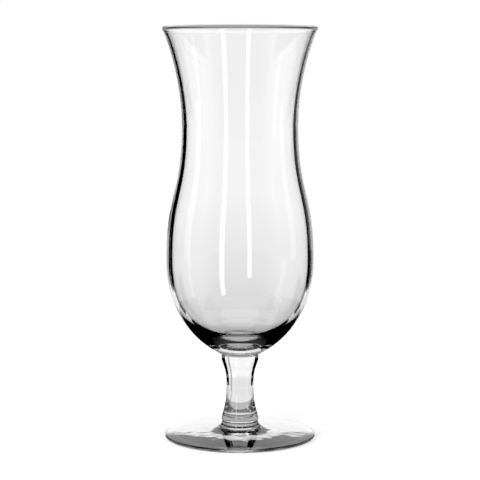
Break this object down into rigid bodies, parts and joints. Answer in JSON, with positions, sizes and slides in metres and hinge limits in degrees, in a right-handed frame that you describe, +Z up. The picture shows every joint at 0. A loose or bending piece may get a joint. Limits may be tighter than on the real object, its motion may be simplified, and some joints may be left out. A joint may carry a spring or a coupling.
{
  "type": "hurricane glass",
  "caption": "Tall clear cocktail glass with a flared mouth, a slim waist and a rounded belly, on a short solid stem and a thin round foot.",
  "frame": {"origin": "centre of the foot on the surface that the glass stands on", "axes": "+Z up along the axis of the glass, towards its mouth"},
  "size_m": [0.0776, 0.0776, 0.2072],
  "materials": {
    "clear_glass": "fire polished"
  },
  "bodies": {
    "root": {"foot": "clear_glass", "stem": "clear_glass", "bowl": "clear_glass"}
  },
  "joints": []
}
